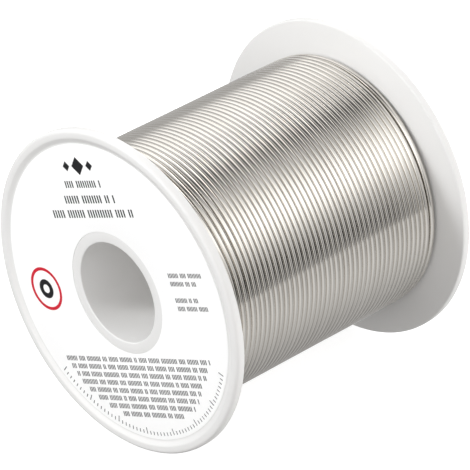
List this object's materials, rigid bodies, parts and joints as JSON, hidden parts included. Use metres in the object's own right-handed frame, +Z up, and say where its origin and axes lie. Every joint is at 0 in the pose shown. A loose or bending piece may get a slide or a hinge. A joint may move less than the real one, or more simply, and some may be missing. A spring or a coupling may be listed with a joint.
{
  "type": "solder wire spool",
  "caption": "White plastic flanged spool wound full of bright soft-solder wire, with a through bore for a bench spindle and a round label recess on the front flange.",
  "frame": {"origin": "middle of the bore, on the spool's axis, half way between the two rims", "axes": "+Y along the bore from the labelled front flange to the bare rear flange, +Z up with the spool lying on its two rims"},
  "size_m": [0.08, 0.0758, 0.08],
  "materials": {
    "spool_plastic": "white moulded polystyrene, satin",
    "label_paper": null,
    "solder_wire": "bright drawn tin alloy wire, close wound"
  },
  "bodies": {
    "root": {"front_flange": "spool_plastic", "rear_flange": "spool_plastic", "barrel": "spool_plastic", "front_label": "label_paper", "inner_layers": "solder_wire", "outer_turns": "solder_wire"}
  },
  "joints": []
}
